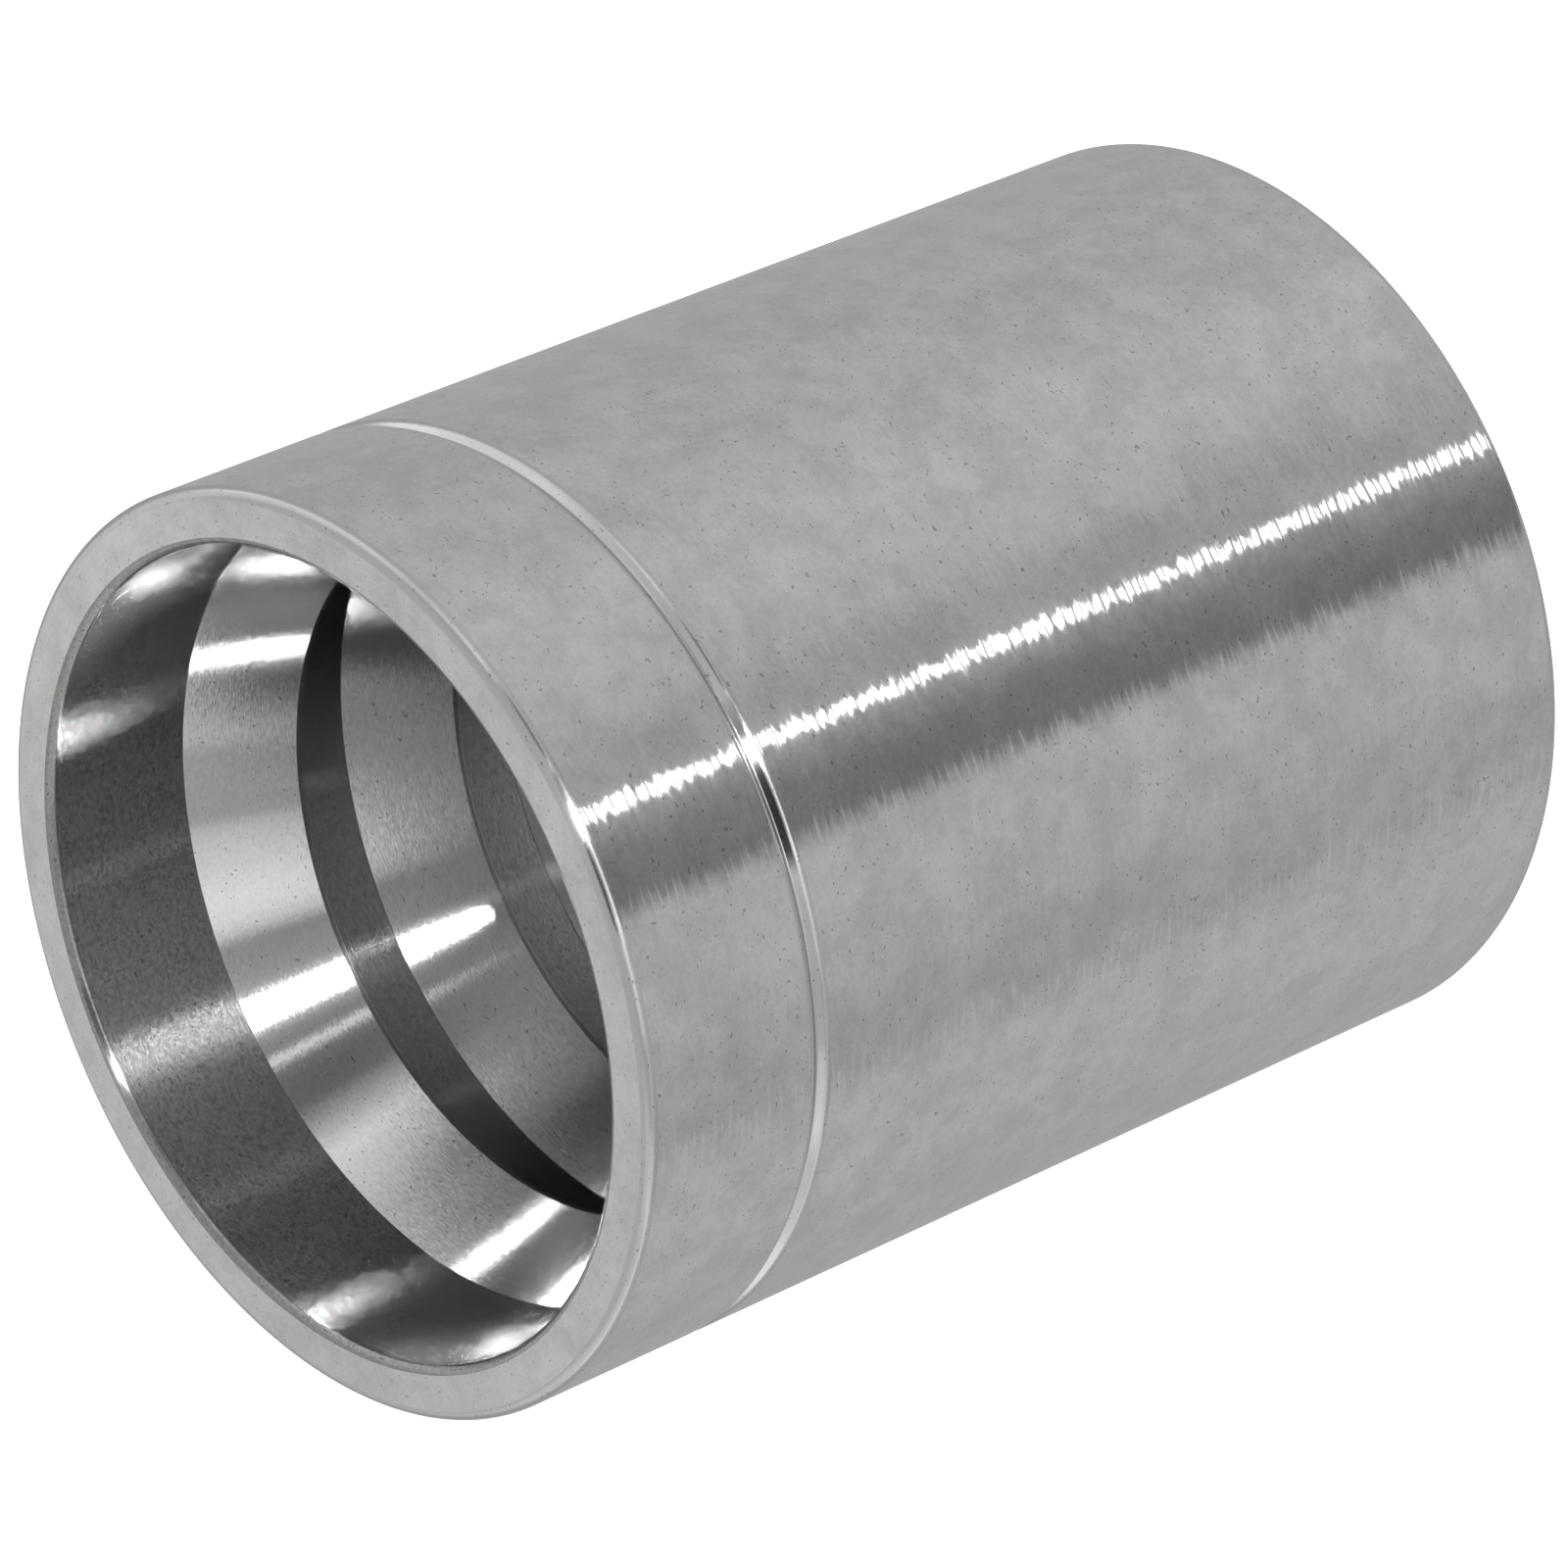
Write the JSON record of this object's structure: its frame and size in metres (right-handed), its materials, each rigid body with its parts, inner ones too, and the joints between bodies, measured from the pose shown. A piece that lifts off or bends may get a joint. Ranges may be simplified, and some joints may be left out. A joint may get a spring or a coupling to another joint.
{
  "type": "crimp hose ferrule",
  "caption": "Turned steel sleeve for crimping over a hydraulic hose end: open mouth, saw-tooth barb rings in the bore, a narrower collar at the back, a fine scored line outside.",
  "frame": {"origin": "centre of the back face, on the axis", "axes": "+Z along the axis from the back face towards the open mouth"},
  "size_m": [0.041, 0.041, 0.053],
  "materials": {
    "turned_steel": "satin turned finish with fine marks round the axis"
  },
  "bodies": {
    "root": {"ferrule": "turned_steel"}
  },
  "joints": []
}
